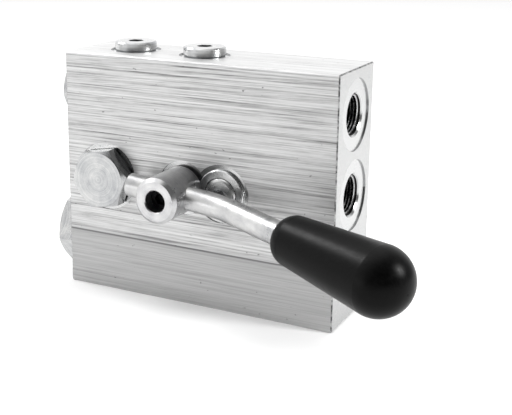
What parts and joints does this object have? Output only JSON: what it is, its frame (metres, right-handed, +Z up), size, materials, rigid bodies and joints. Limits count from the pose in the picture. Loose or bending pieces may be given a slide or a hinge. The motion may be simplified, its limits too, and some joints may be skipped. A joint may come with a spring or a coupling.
{
  "type": "hydraulic monoblock valve",
  "caption": "Rectangular aluminium hydraulic valve block with threaded ports, plugged galleries, a metering screw and a hand lever that lowers the load.",
  "frame": {"origin": "centre of the block's bottom face", "axes": "+Z up, +X along the block towards the two service ports, and the lever side (front) faces -Y"},
  "size_m": [0.1795, 0.0971, 0.1078],
  "materials": {
    "block": "brushed",
    "plugs": "bright zinc plated",
    "lever_steel": "polished",
    "steel": "ground",
    "knob": "satin",
    "brass": "machined",
    "seal": "matte",
    "bonded_washer": "zinc plated"
  },
  "bodies": {
    "valve_body": {"valve_block": "block", "test_port_plug": "plugs", "test_port_plug_washer": "bonded_washer", "gallery_plug": "plugs", "gallery_plug_washer": "bonded_washer", "strainer_plug": "plugs", "strainer_plug_washer": "bonded_washer", "pump_check_plug": "plugs", "pump_check_plug_washer": "bonded_washer", "load_check_plug": "plugs", "load_check_plug_washer": "bonded_washer", "rear_plug": "plugs", "rear_plug_washer": "bonded_washer", "pump_check_seat": "steel", "pump_check_spring": "steel", "load_check_seat": "steel", "load_check_spring": "steel", "thrust_washer": "brass", "stop_pin": "steel", "metering_sleeve": "plugs", "metering_sleeve_oring": "seal", "inlet_strainer": "steel"},
    "lever": {"lever_shaft": "lever_steel", "front_shaft_oring": "seal", "rear_shaft_oring": "seal", "shaft_circlip": "steel", "lever_rod": "lever_steel", "rod_clamp_screw": "steel", "lever_knob": "knob", "knob_insert": "brass"},
    "load_check": {"load_check_poppet": "steel", "load_check_lifter": "steel"},
    "pump_check": {"pump_check_poppet": "steel"},
    "needle": {"metering_needle": "steel"},
    "screw": {"metering_screw": "plugs", "metering_screw_oring": "seal"}
  },
  "joints": [
    {"name": "lever_turn", "type": "hinge", "parent": "valve_body", "child": "lever", "pos_m": [-0.005, 0, 0.051], "axis": [0, -1, 0], "range_deg": [0, 50]},
    {"name": "load_check_lift", "type": "slide", "parent": "valve_body", "child": "load_check", "axis": [0, 0, 1], "range_m": [0, 0.0034], "stiffness_N_per_m": 1500, "springref_m": -0.004, "deforming": ["load_check_spring"]},
    {"name": "pump_check_lift", "type": "slide", "parent": "valve_body", "child": "pump_check", "axis": [0, 0, 1], "range_m": [0, 0.003], "stiffness_N_per_m": 1500, "springref_m": -0.004, "deforming": ["pump_check_spring"]},
    {"name": "metering_turn", "type": "hinge", "parent": "valve_body", "child": "screw", "pos_m": [0.0128, 0, 0.0507], "axis": [0, 1, 0], "range_deg": [0, 360]},
    {"name": "metering_travel", "type": "slide", "parent": "valve_body", "child": "needle", "axis": [0, 1, 0], "range_m": [0, 0.001]}
  ],
  "couplings": [
    {"joint": "load_check_lift", "follows": "lever_turn", "m_per_rad": 0.0038743},
    {"joint": "metering_turn", "follows": "metering_travel", "rad_per_m": 6283}
  ]
}
